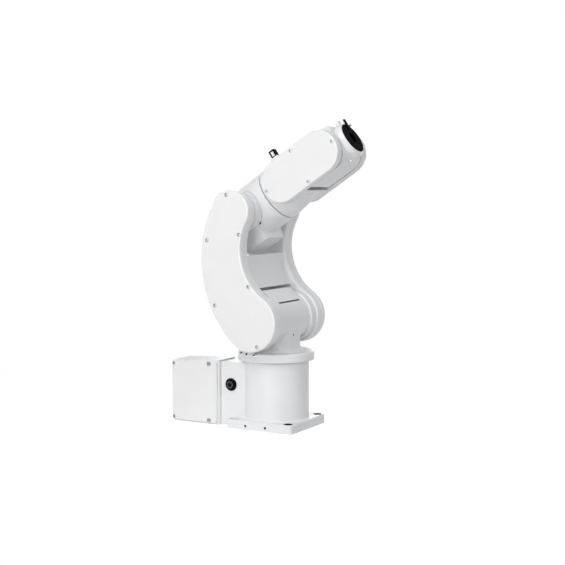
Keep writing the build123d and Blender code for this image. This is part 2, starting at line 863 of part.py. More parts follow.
# Small black connector on the saddle, with a pale insert in its open side
with BuildPart() as forearm_plug:
    with BuildSketch(fore_side):
        with Locations(plug_centre):
            Rectangle(plug_length, plug_height)
    extrude(amount=plug_half_width, both=True)
    with BuildSketch(fore_side.offset(plug_half_width)):
        with Locations(plug_centre):
            Rectangle(plug_length - 2 * plug_wall, plug_height - 2 * plug_wall)
    extrude(amount=-plug_recess, mode=Mode.SUBTRACT)
save(forearm_plug, "forearm_plug")

with BuildPart() as plug_insert:
    with BuildSketch(fore_side.offset(plug_half_width - plug_recess)):
        with Locations(plug_centre):
            Rectangle(
                plug_length - 2 * plug_wall - 2 * plug_insert_gap,
                plug_height - 2 * plug_wall - 2 * plug_insert_gap,
            )
    extrude(amount=plug_recess - plug_insert_gap)
save(plug_insert, "plug_insert")

# Wrist block between the fork arms
with BuildPart() as wrist_housing:
    with BuildSketch(fore_side) as wrist_profile:
        with BuildLine():
            Polyline(
                (wrist_rear, -wrist_half_height),
                (wrist_front, -wrist_half_height),
                (wrist_front, wrist_half_height),
                (wrist_rear, wrist_half_height),
                close=True,
            )
        make_face()
        fillet(wrist_profile.vertices().group_by(Axis.X)[-1].sort_by(Axis.Y)[0], wrist_low_round)
        fillet(wrist_profile.vertices().group_by(Axis.X)[-1].sort_by(Axis.Y)[-1], wrist_high_round)
        fillet(wrist_profile.vertices().group_by(Axis.X)[0], wrist_rear_round)
    extrude(amount=wrist_half_width, both=True)
    with BuildSketch(fore_side):
        with Locations((forearm_length, 0)):
            Circle(wrist_hub_radius)
    extrude(amount=fork_inner - face_clearance, both=True)
    with BuildSketch(fore_side):
        with Locations((forearm_length, 0)):
            Circle(wrist_pin_radius)
    extrude(amount=fork_inner + wrist_pin_reach, both=True)
    with BuildSketch(fore_section(nose_root)):
        Circle(nose_radius)
    extrude(amount=nose_end - nose_root)
    with BuildSketch(fore_section(nose_end)):
        Circle(flange_spigot_radius + pin_clearance)
    extrude(amount=nose_ring_end - nose_end - flange_spigot_length, mode=Mode.SUBTRACT)
save(wrist_housing, "wrist_housing")

# Ring at the end of the nose: a coned rim around the flange, with a small lug
with BuildPart() as nose_ring:
    with BuildSketch(fore_side):
        with BuildLine():
            Polyline(
                (nose_end, nose_ring_bore),
                (nose_end, nose_ring_radius),
                (nose_end + nose_cone_start, nose_ring_radius),
                (nose_rim_end, nose_rim_bore + nose_rim_wall),
                (nose_rim_end, nose_rim_bore),
                (nose_ring_end, nose_rim_bore),
                (nose_ring_end, nose_ring_bore),
                close=True,
            )
        make_face()
    revolve(axis=fore_axis)
    with BuildSketch(fore_section(nose_end + lug_start)):
        with Locations((lug_side, (lug_foot + lug_top) / 2)):
            Rectangle(lug_width, lug_top - lug_foot)
    extrude(amount=lug_end - lug_start)
save(nose_ring, "nose_ring")

# Tool flange: disc with centring bore and four threaded holes
with BuildPart() as tool_flange:
    with BuildSketch(fore_section(flange_start)):
        Circle(flange_radius)
    extrude(amount=flange_end - flange_start)
    chamfer(tool_flange.faces().sort_by(fore_axis)[-1].edges(), flange_edge)
    with BuildSketch(fore_section(flange_start)):
        Circle(flange_spigot_radius)
    extrude(amount=-(flange_spigot_length - pin_clearance))
    with BuildSketch(fore_section(flange_end)):
        Circle(flange_bore_radius)
    extrude(amount=-flange_bore_depth, mode=Mode.SUBTRACT)
    with BuildSketch(fore_section(flange_end)):
        with PolarLocations(flange_hole_circle / 2, flange_hole_count, flange_hole_turn):
            Circle(flange_hole_radius)
    extrude(amount=-flange_hole_depth, mode=Mode.SUBTRACT)
save(tool_flange, "tool_flange")

# Flat stop and guide pin on the flange face
with BuildPart() as flange_stop:
    with BuildSketch(fore_section(flange_end)):
        with Locations((stop_width / 2, (stop_foot + stop_top) / 2)):
            Rectangle(stop_width, stop_top - stop_foot)
    extrude(amount=stop_length)
save(flange_stop, "flange_stop")

with BuildPart() as guide_pin:
    with BuildSketch(fore_section(flange_end)):
        with Locations((guide_pin_side, guide_pin_height)):
            Circle(guide_pin_radius)
    extrude(amount=guide_pin_length)
save(guide_pin, "guide_pin")
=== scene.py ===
"""Dresses the small six-axis robot arm: its paint, screws, seals, sockets and studio.

Lengths are in metres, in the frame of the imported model: the origin lies on the
first axis under the base plate, +X is the way the arm reaches, +Y is the arm's
left and +Z is up.
"""

import json
import logging
from contextlib import contextmanager
from dataclasses import dataclass
from enum import Enum
from math import cos, radians, sin, sqrt, tau
from typing import Any, Callable, ClassVar, Iterator, Sequence

import bmesh
import bpy
from mathutils import Matrix, Vector


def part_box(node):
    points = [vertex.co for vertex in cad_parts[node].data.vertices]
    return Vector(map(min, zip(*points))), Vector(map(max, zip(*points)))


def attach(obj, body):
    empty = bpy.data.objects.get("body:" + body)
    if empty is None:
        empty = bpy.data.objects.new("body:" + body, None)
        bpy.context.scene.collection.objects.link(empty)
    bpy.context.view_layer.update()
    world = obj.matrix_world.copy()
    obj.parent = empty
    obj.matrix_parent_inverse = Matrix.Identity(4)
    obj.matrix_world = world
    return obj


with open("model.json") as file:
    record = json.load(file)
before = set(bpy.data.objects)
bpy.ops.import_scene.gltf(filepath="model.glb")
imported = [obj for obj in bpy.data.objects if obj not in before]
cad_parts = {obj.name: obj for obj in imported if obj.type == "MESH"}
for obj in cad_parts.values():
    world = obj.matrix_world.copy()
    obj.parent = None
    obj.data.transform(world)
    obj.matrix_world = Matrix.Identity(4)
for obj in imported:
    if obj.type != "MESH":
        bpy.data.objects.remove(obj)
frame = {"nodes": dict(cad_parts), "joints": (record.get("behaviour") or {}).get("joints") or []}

MM = 0.001
NEAR = Vector((0.0, -1.0, 0.0))
FAR = Vector((0.0, 1.0, 0.0))
UP = Vector((0.0, 0.0, 1.0))
FRONT = Vector((1.0, 0.0, 0.0))
REAR = Vector((-1.0, 0.0, 0.0))
WHITE = (1.0, 1.0, 1.0, 1.0)
NOISE_MEAN = 0.5
FACING = 0.99
LEVEL_TOLERANCE = 0.1 * MM
RIM_TOLERANCE = 0.01 * MM

log = logging.getLogger("robot_arm")

Piece = bpy.types.Object
Material = bpy.types.Material
Triple = tuple[float, float, float]
Colour = Triple


class Body(Enum):
    """The arm's moving bodies, from the floor up."""

    BASE = "base"
    TURNTABLE = "turntable"
    LOWER_ARM = "lower_arm"
    ELBOW = "elbow"
    FOREARM = "forearm"
    WRIST = "wrist"
    TOOL_MOUNT = "tool_mount"


class Slot(Enum):
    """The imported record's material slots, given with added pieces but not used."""

    BLACK_PLASTIC = "black_plastic"
    BLACK_STEEL = "black_steel"
    BRIGHT_ALUMINIUM = "bright_aluminium"


def joint(name: str) -> dict[str, Any]:
    """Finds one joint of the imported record.

    Args:
        name: The joint's name.

    Returns:
        The joint's entry, with its place and axis.
    """
    return next(entry for entry in frame["joints"] if entry["name"] == name)


ELBOW_AXIS = Vector(joint("axis_3_elbow")["pos_m"])
REACH = Vector(joint("axis_4_roll")["axis"]).normalized()
LIFT = NEAR.cross(REACH)


@dataclass(frozen=True)
class Seat:
    """A place on the arm and the way out of its surface."""

    place: Vector
    outward: Vector

    def matrix(self) -> Matrix:
        """Gives the matrix that stands an upright piece on this seat."""
        stand = self.outward.to_track_quat("Z", "Y").to_matrix().to_4x4()
        return Matrix.Translation(self.place) @ stand


def pocket_seats(node: str, outward: Vector, level: float) -> list[Seat]:
    """Finds the flat floors of a node's screw pockets at one level.

    Args:
        node: The CAD node that has the pockets.
        outward: The unit direction that the pockets open to.
        level: The floors' distance from the origin along that direction.

    Returns:
        A seat in the middle of each separate floor.
    """
    mesh = frame["nodes"][node].data
    floors: list[set[tuple[float, ...]]] = []
    for polygon in mesh.polygons:
        off_level = abs(polygon.center.dot(outward) - level)
        if polygon.normal.dot(outward) < FACING or off_level > LEVEL_TOLERANCE:
            continue
        corners = {tuple(round(c, 6) for c in mesh.vertices[i].co) for i in polygon.vertices}
        joined = [floor for floor in floors if floor & corners]
        floors = [floor for floor in floors if not floor & corners]
        floors.append(corners.union(*joined))
    seats = []
    for floor in floors:
        low = Vector(min(values) for values in zip(*floor))
        high = Vector(max(values) for values in zip(*floor))
        seats.append(Seat((low + high) / 2, outward))
    return sorted(seats, key=lambda seat: tuple(seat.place))


class Wire:
    """One value in a finish's node tree, so that shader maths reads as Python."""

    def __init__(self, tree: "ShaderTree", socket: bpy.types.NodeSocket) -> None:
        """Wraps an output socket of a tree."""
        self.tree = tree
        self.socket = socket

    def _maths(self, operation: str, first: "Wire | float", second: "Wire | float") -> "Wire":
        """Adds a Math node on two values."""
        return self.tree.node("ShaderNodeMath", {"operation": operation}, {0: first, 1: second})

    def __add__(self, other: "Wire | float") -> "Wire":
        """Adds a value."""
        return self._maths("ADD", self, other)

    def __radd__(self, other: float) -> "Wire":
        """Adds to a number."""
        return self._maths("ADD", other, self)

    def __sub__(self, other: "Wire | float") -> "Wire":
        """Takes a value away."""
        return self._maths("SUBTRACT", self, other)

    def __rsub__(self, other: float) -> "Wire":
        """Takes this value from a number."""
        return self._maths("SUBTRACT", other, self)

    def __mul__(self, other: "Wire | float") -> "Wire":
        """Multiplies by a value."""
        return self._maths("MULTIPLY", self, other)

    def __rmul__(self, other: float) -> "Wire":
        """Multiplies a number."""
        return self._maths("MULTIPLY", other, self)

    def swing(self, reach: float) -> "Wire":
        """Swings by a reach to either side of 0, as this noise does around its mean."""
        return reach * (self - NOISE_MEAN)

    def larger(self, other: "Wire | float") -> "Wire":
        """Takes the larger of two values."""
        return self._maths("MAXIMUM", self, other)

    def ramp(self, low: float, high: float) -> "Wire":
        """Eases from 0 at the low value to 1 at the high value."""
        sockets = {"Value": self, "From Min": low, "From Max": high}
        return self.tree.node("ShaderNodeMapRange", {"interpolation_type": "SMOOTHSTEP"}, sockets)

    def wave(self) -> "Wire":
        """Takes the sine of this value, moved to run from 0 to 1."""
        return self._maths("SINE", self, 0.0) * 0.5 + 0.5


class ShaderTree:
    """A shader's node tree, built a node at a time."""

    def __init__(self, tree: bpy.types.NodeTree) -> None:
        """Empties a tree and takes it over."""
        self.tree = tree
        self.tree.nodes.clear()

    def node(
        self,
        kind: str,
        settings: dict[str, Any] | None = None,
        sockets: dict[str | int, Any] | None = None,
        output: str | int = 0,
    ) -> Wire:
        """Adds a node.

        Args:
            kind: The node's type.
            settings: Its own settings, set before the sockets.
            sockets: Values or wires for its inputs, by name or number.
            output: The output that is wanted, by name or number.

        Returns:
            The wire that leaves that output.
        """
        made = self.tree.nodes.new(kind)
        for name, value in (settings or {}).items():
            setattr(made, name, value)
        for name, value in (sockets or {}).items():
            if isinstance(value, Wire):
                self.tree.links.new(value.socket, made.inputs[name])
            else:
                made.inputs[name].default_value = value
        return Wire(self, made.outputs[output]) if made.outputs else Wire(self, made.inputs[0])

    def vector(self, operation: str, *places: Wire | Vector) -> Wire:
        """Adds a Vector Math node, whose length comes back as a number."""
        output = "Value" if operation == "LENGTH" else "Vector"
        return self.node("ShaderNodeVectorMath", {"operation": operation}, dict(enumerate(places)), output)

    def seen(self) -> Wire:
        """Tells rays that show the studio (1) from rays that only carry its light (0).

        Returns:
            The share, for the floor and the world alone.
        """
        kinds = ("Camera", "Glossy", "Transmission")
        share, *others = [self.node("ShaderNodeLightPath", output=f"Is {kind} Ray") for kind in kinds]
        for other in others:
            share = share.larger(other)
        return share


class FinishTree(ShaderTree):
    """The node tree of one material."""

    def __init__(self, name: str) -> None:
        """Starts an empty material.

        Args:
            name: The material's name.
        """
        self.material = bpy.data.materials.new(name)
        self.material.use_nodes = True
        super().__init__(self.material.node_tree)

    def place(self) -> Wire:
        """Reads the place on the piece, in metres."""
        return self.node("ShaderNodeTexCoord", output="Object")

    def noise(self, place: Wire, size: float, detail: float = 2.0) -> Wire:
        """Adds soft noise.

        Args:
            place: Where the pattern is read.
            size: The size of its blots in metres.
            detail: How many finer layers it has.

        Returns:
            The noise, about 0.5 in the mean.
        """
        sockets = {"Vector": place, "Scale": 1.0 / size, "Detail": detail}
        return self.node("ShaderNodeTexNoise", {}, sockets)

    def blend(self, share: Wire, first: Colour, second: Colour) -> Wire:
        """Mixes two colours by a share."""
        sockets = {0: share, 6: (*first, 1.0), 7: (*second, 1.0)}
        return self.node("ShaderNodeMix", {"data_type": "RGBA"}, sockets, output=2)

    def bump(self, height: Wire, depth: float, edge: float) -> Wire:
        """Roughens the surface and eases its sharp edges.

        Args:
            height: The relief, from 0 to 1.
            depth: The relief's real height in metres.
            edge: The radius that edges are eased to.

        Returns:
            The normal for the shader.
        """
        eased = self.node("ShaderNodeBevel", {"samples": 6}, {"Radius": edge})
        return self.node("ShaderNodeBump", {}, {"Distance": depth, "Height": height, "Normal": eased})

    def shade(self, sockets: dict[str | int, Any]) -> Material:
        """Ends the tree in one surface shader.

        Args:
            sockets: The shader's values and wires.

        Returns:
            The finished material.
        """
        surface = self.node("ShaderNodeBsdfPrincipled", {}, sockets)
        self.node("ShaderNodeOutputMaterial", {}, {"Surface": surface})
        return self.material


@dataclass(frozen=True)
class Paint:
    """Semi-gloss white enamel, sprayed on castings or moulded covers."""

    name: str
    clean: Colour
    dull: Colour
    gloss: float
    peel: float
    peel_depth: float
    edge: float
    cloud: float = 90 * MM
    wipe: float = 14 * MM
    coat: float = 0.15
    coat_gloss: float = 0.12

    def make(self) -> Material:
        """Builds the paint: a faint cloud in tone and gloss over fine orange peel.

        Returns:
            The finished material.
        """
        tree = FinishTree(self.name)
        place = tree.place()
        cloud = tree.noise(place, self.cloud, detail=3.0)
        speck = tree.noise(place, self.peel, detail=2.0)
        wipe = tree.noise(place, self.wipe, detail=4.0)
        return tree.shade(
            {
                "Base Color": tree.blend(cloud.ramp(low=0.3, high=0.7), self.clean, self.dull),
                "Roughness": self.gloss + wipe.swing(0.08) + speck.swing(0.05),
                "Normal": tree.bump(speck, self.peel_depth, self.edge),
                "Coat Weight": self.coat,
                "Coat Roughness": self.coat_gloss,
            }
        )


@dataclass(frozen=True)
class MouldedPlastic:
    """Moulded plastic or rubber with a fine spark-eroded grain."""

    name: str
    colour: Colour
    rubbed: Colour
    gloss: float
    shine: float = 0.5
    grain: float = 0.5 * MM
    grain_depth: float = 0.03 * MM
    rub: float = 7 * MM
    polish: float = 0.1
    edge: float = 0.4 * MM

    def make(self) -> Material:
        """Builds the plastic: grain in the relief, rubbed patches in tone and gloss.

        Returns:
            The finished material.
        """
        tree = FinishTree(self.name)
        place = tree.place()
        grain = tree.noise(place, self.grain, detail=2.0)
        rub = tree.noise(place, self.rub, detail=3.0).ramp(low=0.45, high=0.75)
        return tree.shade(
            {
                "Base Color": tree.blend(rub, self.colour, self.rubbed),
                "Roughness": self.gloss - self.polish * rub + grain.swing(0.08),
                "Specular IOR Level": self.shine,
                "Normal": tree.bump(grain, self.grain_depth, self.edge),
            }
        )


@dataclass(frozen=True)
class BlackenedSteel:
    """Steel with fine rings from the lathe under a dark oxide coat."""

    name: str
    colour: Colour
    worn: Colour
    gloss: float
    centre: Vector
    axis: Vector
    pitch: float
    shine: float = 0.006
    cut: float = 0.02 * MM
    chatter: float = 3 * MM
    chatter_turns: float = 2.0
    mark: float = 6 * MM
    mark_dullness: float = 0.08
    edge: float = 0.3 * MM

    def make(self) -> Material:
        """Builds the coat: lathe rings in relief and gloss, handling marks in tone.

        Returns:
            The finished material.
        """
        tree = FinishTree(self.name)
        place = tree.place()
        radius = self._radius(tree, place)
        chatter = tree.noise(place, self.chatter, detail=2.0)
        rings = (radius * (tau / self.pitch) + self.chatter_turns * chatter).wave()
        marks = tree.noise(place, self.mark, detail=4.0).ramp(low=0.5, high=0.8)
        return tree.shade(
            {
                "Base Color": tree.blend(marks, self.colour, self.worn),
                "Specular IOR Level": self.shine,
                "Roughness": self.gloss + rings.swing(0.1) + self.mark_dullness * marks,
                "Normal": tree.bump(rings, self.cut, self.edge),
            }
        )

    def _radius(self, tree: FinishTree, place: Wire) -> Wire:
        """Measures the distance from the lathe's axis."""
        off_centre = tree.vector("SUBTRACT", place, self.centre)
        return tree.vector("LENGTH", tree.vector("CROSS_PRODUCT", off_centre, self.axis))


@dataclass(frozen=True)
class BrushedMetal:
    """Bright metal brushed along one direction, or evenly."""

    name: str
    colour: Colour
    shadow: Colour
    gloss: float
    stretch: Triple = (1.0, 1.0, 1.0)
    scratch: float = 0.6 * MM
    smear: float = 11 * MM
    depth: float = 0.015 * MM
    edge: float = 0.3 * MM

    def make(self) -> Material:
        """Builds the metal: long scratches in relief, tone and gloss.

        Returns:
            The finished material.
        """
        tree = FinishTree(self.name)
        place = tree.place()
        drawn = tree.node("ShaderNodeMapping", {}, {"Vector": place, "Scale": self.stretch})
        scratch = tree.noise(drawn, self.scratch, detail=3.0)
        smear = tree.noise(place, self.smear, detail=3.0)
        return tree.shade(
            {
                "Base Color": tree.blend(scratch.ramp(low=0.35, high=0.7), self.colour, self.shadow),
                "Metallic": 1.0,
                "Roughness": self.gloss + scratch.swing(0.12) + smear.swing(0.1),
                "Normal": tree.bump(scratch, self.depth, self.edge),
            }
        )


class Finishes:
    """The arm's finishes, each made once."""

    def __init__(self) -> None:
        """Makes every material."""
        self.cast_paint = Paint(
            "cast_paint",
            clean=(0.83, 0.835, 0.845),
            dull=(0.80, 0.805, 0.82),
            gloss=0.42,
            peel=1.1 * MM,
            peel_depth=0.05 * MM,
            edge=1.0 * MM,
        ).make()
        self.cover_paint = Paint(
            "cover_paint",
            clean=(0.85, 0.85, 0.85),
            dull=(0.825, 0.826, 0.828),
            gloss=0.36,
            peel=0.8 * MM,
            peel_depth=0.025 * MM,
            edge=0.8 * MM,
        ).make()
        self.black_plastic = MouldedPlastic(
            "black_plastic",
            colour=(0.006, 0.006, 0.007),
            rubbed=(0.010, 0.010, 0.011),
            gloss=0.45,
            shine=0.012,
        ).make()
        self.pale_plastic = MouldedPlastic(
            "pale_plastic", colour=(0.86, 0.86, 0.85), rubbed=(0.80, 0.80, 0.79), gloss=0.5
        ).make()
        # Near-black without reflection: painted shade inside holes, screw sockets and thread inserts, and
        # in the front foot holes.
        self.hole_shade_black = MouldedPlastic(
            "hole_shade_black",
            colour=(0.004, 0.004, 0.004),
            rubbed=(0.007, 0.007, 0.007),
            gloss=0.9,
            shine=0.0,
            grain=0.4 * MM,
        ).make()
        self.glossy_black = MouldedPlastic(
            "glossy_black",
            colour=(0.04, 0.04, 0.042),
            rubbed=(0.055, 0.055, 0.057),
            gloss=0.2,
            shine=0.8,
            grain=0.9 * MM,
            grain_depth=0.01 * MM,
        ).make()
        rubber = {"gloss": 0.7, "shine": 0.3, "grain": 0.3 * MM}
        self.grey_rubber = MouldedPlastic(
            "grey_rubber", colour=(0.16, 0.16, 0.165), rubbed=(0.2, 0.2, 0.205), **rubber
        ).make()
        self.seal_rubber = MouldedPlastic(
            "seal_rubber", colour=(0.03, 0.03, 0.032), rubbed=(0.045, 0.045, 0.046), **rubber
        ).make()
        self.black_steel = BlackenedSteel(
            "black_steel",
            colour=(0.005, 0.005, 0.006),
            worn=(0.010, 0.010, 0.011),
            gloss=0.5,
            centre=sum(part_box("tool_flange"), Vector()) / 2,
            axis=REACH,
            pitch=0.5 * MM,
        ).make()
        self.bright_aluminium = BrushedMetal(
            "bright_aluminium",
            colour=(0.78, 0.79, 0.80),
            shadow=(0.62, 0.63, 0.65),
            gloss=0.32,
            stretch=(1.0, 1.0, 0.04),
        ).make()
        self.zinc_steel = BrushedMetal(
            "zinc_steel", colour=(0.62, 0.63, 0.64), shadow=(0.42, 0.43, 0.45), gloss=0.34
        ).make()
        self.dull_zinc = BrushedMetal(
            "dull_zinc", colour=(0.40, 0.41, 0.42), shadow=(0.24, 0.25, 0.26), gloss=0.42
        ).make()
        self.gilt_contact = BrushedMetal(
            "gilt_contact",
            colour=(0.72, 0.52, 0.22),
            shadow=(0.55, 0.38, 0.15),
            gloss=0.3,
            stretch=(0.2, 1.0, 1.0),
        ).make()


class Bench:
    """A modelling bench: shapes meshes with Blender's own operators, as by hand."""

    @staticmethod
    def clear() -> None:
        """Deselects everything, so that operators act on one piece alone."""
        bpy.ops.object.select_all(action="DESELECT")

    @classmethod
    def take(cls, piece: Piece) -> None:
        """Selects one piece alone and makes it active.

        Args:
            piece: The piece to work on next.
        """
        cls.clear()
        piece.select_set(True)
        bpy.context.view_layer.objects.active = piece

    @classmethod
    def drum(cls, name: str, radius: float, height: float, sides: int, open_ends: bool = False) -> Piece:
        """Stands a drum on the origin.

        Args:
            name: The piece's name.
            radius: Its radius.
            height: Its height.
            sides: How many sides it has.
            open_ends: Whether its ends are left open.

        Returns:
            The new piece, with its place in its mesh.
        """
        cls.clear()
        bpy.ops.mesh.primitive_cylinder_add(
            vertices=sides,
            radius=radius,
            depth=height,
            end_fill_type="NOTHING" if open_ends else "NGON",
            location=(0.0, 0.0, height / 2),
        )
        piece = bpy.context.object
        piece.name = name
        bpy.ops.object.transform_apply()
        return piece

    @classmethod
    def block(cls, name: str, size: Sequence[float]) -> Piece:
        """Stands a block on the origin.

        Args:
            name: The piece's name.
            size: Its length, width and height.

        Returns:
            The new piece, with its place in its mesh.
        """
        cls.clear()
        bpy.ops.mesh.primitive_cube_add(size=1.0, location=(0.0, 0.0, size[2] / 2), scale=size)
        piece = bpy.context.object
        piece.name = name
        bpy.ops.object.transform_apply()
        return piece

    @classmethod
    @contextmanager
    def editing(cls, piece: Piece) -> Iterator[None]:
        """Opens a piece in edit mode and closes it again.

        Args:
            piece: The piece to edit.

        Yields:
            Nothing, while the piece is open.
        """
        cls.take(piece)
        bpy.ops.object.mode_set(mode="EDIT")
        yield
        bpy.ops.object.mode_set(mode="OBJECT")

    @staticmethod
    def pick_faces(piece: Piece, wanted: Callable[[Vector], bool]) -> None:
        """Selects faces by the way they face.

        Args:
            piece: The piece that is in edit mode.
            wanted: Tells from a face's normal whether it is wanted.
        """
        bpy.ops.mesh.select_mode(type="FACE")
        bpy.ops.mesh.select_all(action="DESELECT")
        shape = bmesh.from_edit_mesh(piece.data)
        shape.normal_update()
        for face in shape.faces:
            face.select_set(wanted(face.normal))
        bmesh.update_edit_mesh(piece.data)

    @staticmethod
    def pick_edges(piece: Piece, wanted: Callable[[Vector], bool]) -> None:
        """Selects edges by the places of their ends.

        Args:
            piece: The piece that is in edit mode.
            wanted: Tells from an end's place whether it is wanted. Both ends have to be.
        """
        bpy.ops.mesh.select_mode(type="EDGE")
        bpy.ops.mesh.select_all(action="DESELECT")
        shape = bmesh.from_edit_mesh(piece.data)
        for edge in shape.edges:
            edge.select_set(all(wanted(end.co) for end in edge.verts))
        bmesh.update_edit_mesh(piece.data)

    @staticmethod
    def raise_faces(height: float) -> None:
        """Extrudes the selected faces along the piece's own height."""
        bpy.ops.mesh.extrude_region_move(TRANSFORM_OT_translate={"value": (0.0, 0.0, height)})

    @classmethod
    def ease_rim(cls, piece: Piece, height: float, width: float, segments: int = 2) -> None:
        """Bevels the edges at one height.

        Args:
            piece: The piece that is in edit mode.
            height: The height of the rim.
            width: The bevel's width.
            segments: How many strips it has.
        """
        cls.pick_edges(piece, lambda end: abs(end.z - height) < RIM_TOLERANCE)
        bpy.ops.mesh.bevel(offset=width, segments=segments, affect="EDGES")

    @classmethod
    def finish(cls, piece: Piece, kind: str, **settings: Any) -> None:
        """Adds a modifier to a piece and applies it.

        Args:
            piece: The piece to work on.
            kind: The modifier's type.
            **settings: The modifier's settings.
        """
        cls.take(piece)
        modifier = piece.modifiers.new(kind.title(), kind)
        for name, value in settings.items():
            setattr(modifier, name, value)
        bpy.ops.object.modifier_apply(modifier=modifier.name)

    @classmethod
    def cut(cls, piece: Piece, tool: Piece) -> None:
        """Cuts a piece with a tool piece, which is then thrown away."""
        cls.finish(piece, "BOOLEAN", object=tool, operation="DIFFERENCE", solver="EXACT")
        bpy.data.objects.remove(tool)

    @classmethod
    def smooth(cls, piece: Piece, angle: float = 35.0) -> None:
        """Shades a piece smooth where its faces meet at less than an angle in degrees."""
        cls.take(piece)
        bpy.ops.object.shade_smooth_by_angle(angle=radians(angle))

    @classmethod
    def place_copies(cls, model: Piece, name: str, seats: Sequence[Seat]) -> Piece:
        """Copies a model to every seat and joins the copies.

        Args:
            model: The model, standing on the origin. It is thrown away afterwards.
            name: The name of the joined piece.
            seats: Where the copies go.

        Returns:
            The joined piece, with its places in its mesh.
        """
        copies = []
        for seat in seats:
            cls.take(model)
            bpy.ops.object.duplicate()
            copy = bpy.context.object
            copy.matrix_world = seat.matrix()
            bpy.ops.object.transform_apply()
            copies.append(copy)
        cls.take(copies[0])
        for copy in copies[1:]:
            copy.select_set(True)
        if len(copies) > 1:
            bpy.ops.object.join()
        bpy.data.objects.remove(model)
        copies[0].name = name
        return copies[0]


@dataclass(frozen=True)
class SocketScrew:
    """A socket screw with a chamfered head and a hexagon socket."""

    head: float
    height: float
    key: float
    depth: float
    sides: int = 24
    key_sides: ClassVar[int] = 6
    chamfer_share: ClassVar[float] = 0.12

    def model(self) -> Piece:
        """Models the screw.

        Returns:
            The screw, standing on the origin.
        """
        screw = Bench.drum("socket_screw", self.head / 2, self.height, self.sides)
        with Bench.editing(screw):
            Bench.ease_rim(screw, self.height, self.chamfer_share * self.head)
        tool = Bench.drum("socket_tool", self.key / sqrt(3.0), self.height, self.key_sides)
        tool.location.z = self.height - self.depth
        Bench.cut(screw, tool)
        Bench.smooth(screw)
        return screw


@dataclass(frozen=True)
class ThreadInsert:
    """A dark threaded sleeve with a floor, sunk into a drilled hole."""

    radius: float
    bore: float
    depth: float
    sides: int = 24
    bore_share: ClassVar[float] = 0.8
    lip_share: ClassVar[float] = 0.2

    def model(self) -> Piece:
        """Models the sleeve.

        Returns:
            The sleeve, with its mouth at the origin and its floor below.
        """
        sleeve = Bench.drum("thread_insert", self.radius, self.depth, self.sides)
        wall = self.radius - self.bore
        with Bench.editing(sleeve):
            Bench.pick_faces(sleeve, lambda normal: normal.z > FACING)
            bpy.ops.mesh.inset(thickness=wall)
            Bench.raise_faces(-self.bore_share * self.depth)
            bpy.ops.mesh.select_all(action="SELECT")
            bpy.ops.transform.translate(value=(0.0, 0.0, -self.depth))
            Bench.ease_rim(sleeve, 0.0, self.lip_share * wall, segments=1)
        Bench.smooth(sleeve)
        return sleeve


@dataclass(frozen=True)
class Ring:
    """A flat ring with eased edges: a seal, a washer, a sleeve or a hollow screw's head."""

    radius: float
    width: float
    height: float
    sides: int = 96
    edge_share: ClassVar[float] = 0.15

    def model(self) -> Piece:
        """Models the ring.

        Returns:
            The ring, standing on the origin.
        """
        ring = Bench.drum("ring", self.radius, self.height, self.sides, open_ends=True)
        Bench.finish(ring, "SOLIDIFY", thickness=self.width, offset=-1.0)
        Bench.finish(ring, "BEVEL", width=self.edge_share * self.height, segments=1)
        Bench.smooth(ring)
        return ring


@dataclass(frozen=True)
class Contact:
    """A round contact pin with an eased tip."""

    radius: float
    height: float
    sides: int = 10
    tip_share: ClassVar[float] = 0.4

    def model(self) -> Piece:
        """Models the pin.

        Returns:
            The pin, standing on the origin.
        """
        pin = Bench.drum("contact", self.radius, self.height, self.sides)
        with Bench.editing(pin):
            Bench.ease_rim(pin, self.height, self.tip_share * self.radius)
        Bench.smooth(pin)
        return pin


COVER_SCREW = SocketScrew(head=5.6 * MM, height=2.4 * MM, key=2.5 * MM, depth=1.4 * MM)
SMALL_SCREW = SocketScrew(head=4.4 * MM, height=1.6 * MM, key=2.0 * MM, depth=1.0 * MM)
HOLLOW_HEAD = Ring(radius=4.6 * MM, width=1.6 * MM, height=2.6 * MM, sides=32)
HOLLOW_SOCKET_SHADE = ThreadInsert(radius=2.95 * MM, bore=2.5 * MM, depth=2.6 * MM)
HOLLOW_MOUTH = 0.9 * HOLLOW_HEAD.height
SMALL_INSERT = ThreadInsert(radius=1.7 * MM, bore=1.3 * MM, depth=5.5 * MM)
SMALL_RING_SIDES = 48
SCREW_SINK = 0.4 * MM
SEAM_FILL = 0.8
SEAM_SLACK = 0.05
JOINT_FACE = 66 * MM
CHEEK_SEAL_LIFT = 0.15 * MM
CHEEK_SEAL_HEIGHT = 0.7 * MM


def cheek_seats(axis: Vector) -> list[Seat]:
    """Finds the narrow gaps between a joint's end faces and the lower arm's cheeks.

    Args:
        axis: A point on the joint's axis, in the middle plane.

    Returns:
        A seat just off each end face, which faces its cheek.
    """
    return [Seat(axis + outward * (JOINT_FACE + CHEEK_SEAL_LIFT), outward) for outward in (NEAR, FAR)]


def sunk_seat(place: Triple, direction: Triple) -> Seat:
    """Finds the seat of a screw whose foot lies a little under a curved surface.

    Args:
        place: The point on the surface.
        direction: The way out of the surface, of any length.

    Returns:
        The seat under that point.
    """
    outward = Vector(direction).normalized()
    return Seat(Vector(place) - outward * SCREW_SINK, outward)


